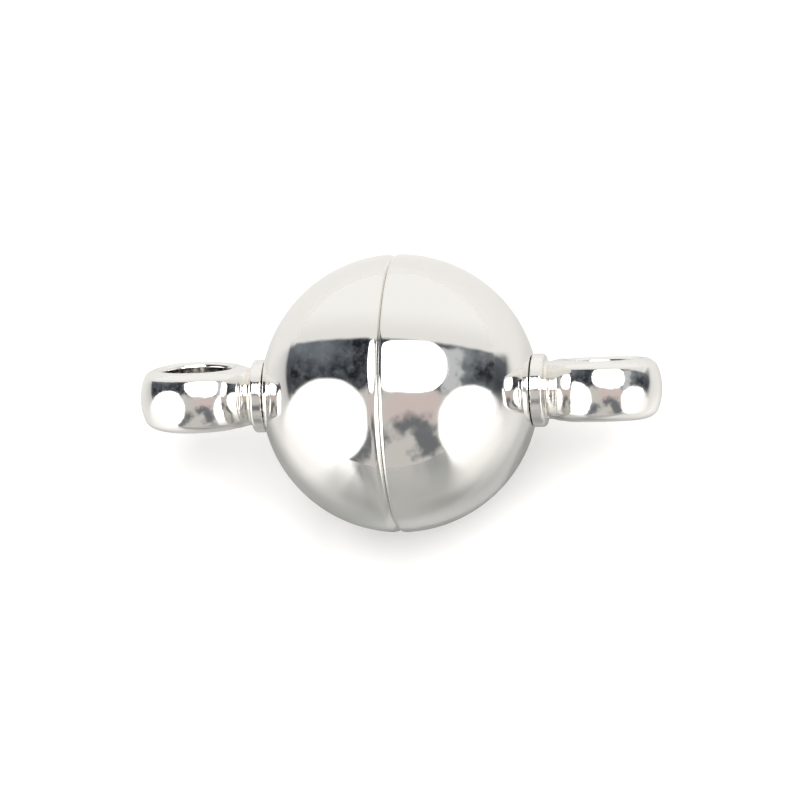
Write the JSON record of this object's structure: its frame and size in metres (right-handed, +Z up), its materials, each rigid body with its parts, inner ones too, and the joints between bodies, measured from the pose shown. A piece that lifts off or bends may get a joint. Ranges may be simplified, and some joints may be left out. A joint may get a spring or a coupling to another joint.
{
  "type": "magnetic clasp",
  "caption": "Ball-shaped magnetic clasp that parts at its middle seam, with a crowned ring on each end for a jump ring, wire or cord.",
  "frame": {"origin": "where the closed ball touches the surface it lies on", "axes": "+X along the clasp from the ring on half A to the ring on half B, +Z up, ball centre 4 mm above the origin"},
  "size_m": [0.0152, 0.008, 0.008],
  "materials": {
    "ball_plating": "bright silver electroplate over a polished brass half ball",
    "loop_plating": "bright silver electroplate over a tumbled brass casting",
    "magnet_nickel": "nickel plating on a sintered magnet"
  },
  "bodies": {
    "half_a": {"half_shell_a": "ball_plating", "loop_a": "loop_plating"},
    "tall_magnet": {"magnet_a": "magnet_nickel"},
    "half_b": {"half_shell_b": "ball_plating", "magnet_b": "magnet_nickel", "loop_b": "loop_plating"}
  },
  "joints": [
    {"name": "swivel", "type": "hinge", "parent": "half_a", "child": "tall_magnet", "pos_m": [0, 0, 0.004], "axis": [1, 0, 0], "continuous": true},
    {"name": "pull_apart", "type": "slide", "parent": "tall_magnet", "child": "half_b", "axis": [1, 0, 0], "range_m": [0, 0.008]}
  ]
}
